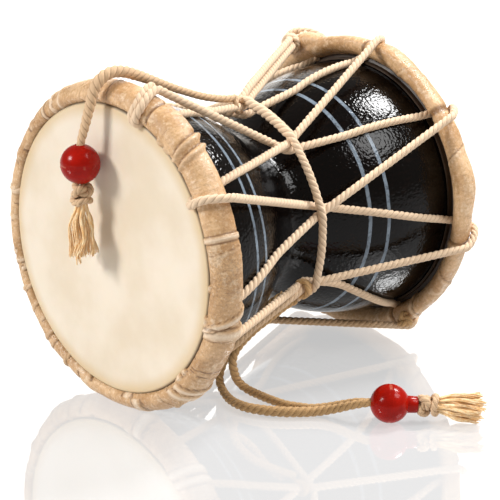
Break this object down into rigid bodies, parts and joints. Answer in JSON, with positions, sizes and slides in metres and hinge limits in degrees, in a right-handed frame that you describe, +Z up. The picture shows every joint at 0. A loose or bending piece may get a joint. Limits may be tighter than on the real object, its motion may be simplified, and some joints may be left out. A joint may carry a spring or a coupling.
{
  "type": "damaru drum",
  "caption": "Laced hourglass hand drum in black lacquer with rawhide heads, hide-covered rims and corded red bead strikers, lying on its rims.",
  "frame": {"origin": "on the floor under the middle of the drum: bottom centre of the drum's box without its striker cords", "axes": "X along the drum's axis, the front skin facing -X; Z up; the lower striker lies on the floor at the -Y side"},
  "size_m": [0.191, 0.2112, 0.1565],
  "materials": {
    "lacquered_wood": "gloss lacquer",
    "rawhide": "satin",
    "rim_hide": "satin",
    "straw_rope": "matte",
    "striker_cord": "matte",
    "red_bead": "gloss"
  },
  "bodies": {
    "root": {"body": "lacquered_wood", "front_skin": "rawhide", "rear_skin": "rawhide", "front_rim": "rim_hide", "rear_rim": "rim_hide", "lacing_rope_a": "straw_rope", "lacing_rope_b": "straw_rope", "waist_rope": "straw_rope", "upper_striker_cord": "striker_cord", "upper_bead": "red_bead", "upper_knot_and_tassel": "striker_cord", "lower_striker_cord": "striker_cord", "lower_striker_strand": "striker_cord", "lower_bead": "red_bead", "lower_knot_and_tassel": "striker_cord"}
  },
  "joints": []
}
